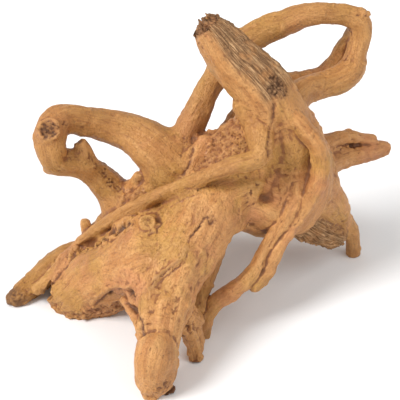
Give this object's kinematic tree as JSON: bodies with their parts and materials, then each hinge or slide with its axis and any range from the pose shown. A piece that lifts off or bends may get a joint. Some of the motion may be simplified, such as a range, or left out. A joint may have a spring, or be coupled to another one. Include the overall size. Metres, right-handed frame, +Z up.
{
  "type": "dry tree root",
  "caption": "Dry sandblasted tree root with a broken trunk stub, an arching loop, a side loop and several legs that stand it up.",
  "frame": {"origin": "centre of the footprint box, on the surface the root stands on", "axes": "+X from the left leg to the right peg, +Z up, -Y towards the front leg"},
  "size_m": [0.4093, 0.3327, 0.3067],
  "materials": {
    "wood": "satin"
  },
  "bodies": {
    "root": {"dry_root": "wood"}
  },
  "joints": []
}
